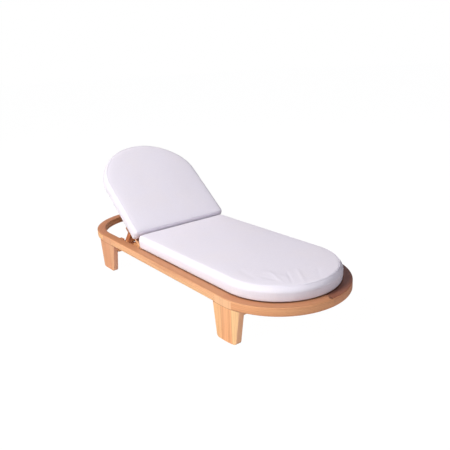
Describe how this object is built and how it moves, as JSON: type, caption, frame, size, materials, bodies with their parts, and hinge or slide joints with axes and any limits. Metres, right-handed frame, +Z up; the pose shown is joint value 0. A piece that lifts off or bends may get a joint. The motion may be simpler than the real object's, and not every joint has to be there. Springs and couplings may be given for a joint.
{
  "type": "spa relaxation lounger",
  "caption": "Low spa relaxation lounger: oval teak ring on board legs, slatted deck, long round-ended seat cushion and a hinged D-shaped back with its own cushion.",
  "frame": {"origin": "on the floor under the middle of the oval ring", "axes": "+X to the foot end, -X to the head end, +Y to the sitter's left, +Z up"},
  "size_m": [2.05, 0.75, 0.7482],
  "materials": {
    "teak": "oiled satin",
    "hardwood": "raw",
    "cushion_fabric": "tight weave, matt",
    "stainless": "brushed",
    "nylon": "matt"
  },
  "bodies": {
    "base": {"foot_arc_left": "teak", "foot_arc_right": "teak", "foot_bearer": "teak", "foot_leg_left": "teak", "foot_leg_right": "teak", "head_arc_left": "teak", "head_arc_right": "teak", "head_bearer": "teak", "head_leg_left": "teak", "head_leg_right": "teak", "hinge_rail": "teak", "ledger_foot": "teak", "ledger_left": "teak", "ledger_right": "teak", "leg_dowels": "hardwood", "pivot_block_left": "teak", "pivot_block_right": "teak", "pivot_bolts": "stainless", "pivot_washers": "nylon", "rack_left": "teak", "rack_right": "teak", "rail_left": "teak", "rail_right": "teak", "ring_tenons": "hardwood", "seat_cushion": "cushion_fabric", "seat_slat_01": "teak", "seat_slat_02": "teak", "seat_slat_03": "teak", "seat_slat_04": "teak", "seat_slat_05": "teak", "seat_slat_06": "teak", "seat_slat_07": "teak", "seat_slat_08": "teak", "seat_slat_09": "teak", "seat_slat_10": "teak", "seat_slat_11": "teak", "seat_slat_12": "teak"},
    "back": {"back_arch_left": "teak", "back_arch_right": "teak", "back_cushion": "cushion_fabric", "back_lower_rail": "teak", "back_slat_01": "teak", "back_slat_02": "teak", "back_slat_03": "teak", "back_slat_04": "teak", "back_slat_05": "teak", "back_slat_06": "teak", "back_stile_left": "teak", "back_stile_right": "teak", "back_tenons": "hardwood", "hinge_ear_left": "teak", "hinge_ear_right": "teak", "prop_bolts": "stainless", "prop_hanger_left": "teak", "prop_hanger_right": "teak"},
    "prop": {"prop_foot_bar": "teak", "prop_strut_left": "teak", "prop_strut_right": "teak"}
  },
  "joints": [
    {"name": "back_tilt", "type": "hinge", "parent": "base", "child": "back", "pos_m": [-0.251, 0, 0.193], "axis": [0, 1, 0], "range_deg": [-35, 6.5]},
    {"name": "prop_swing", "type": "hinge", "parent": "back", "child": "prop", "pos_m": [-0.40343, 0, 0.30658], "axis": [0, 1, 0], "range_deg": [-15.21, 81.9]}
  ],
  "couplings": [
    {"joint": "prop_swing", "follows": "back_tilt", "ratio": -2.34}
  ]
}
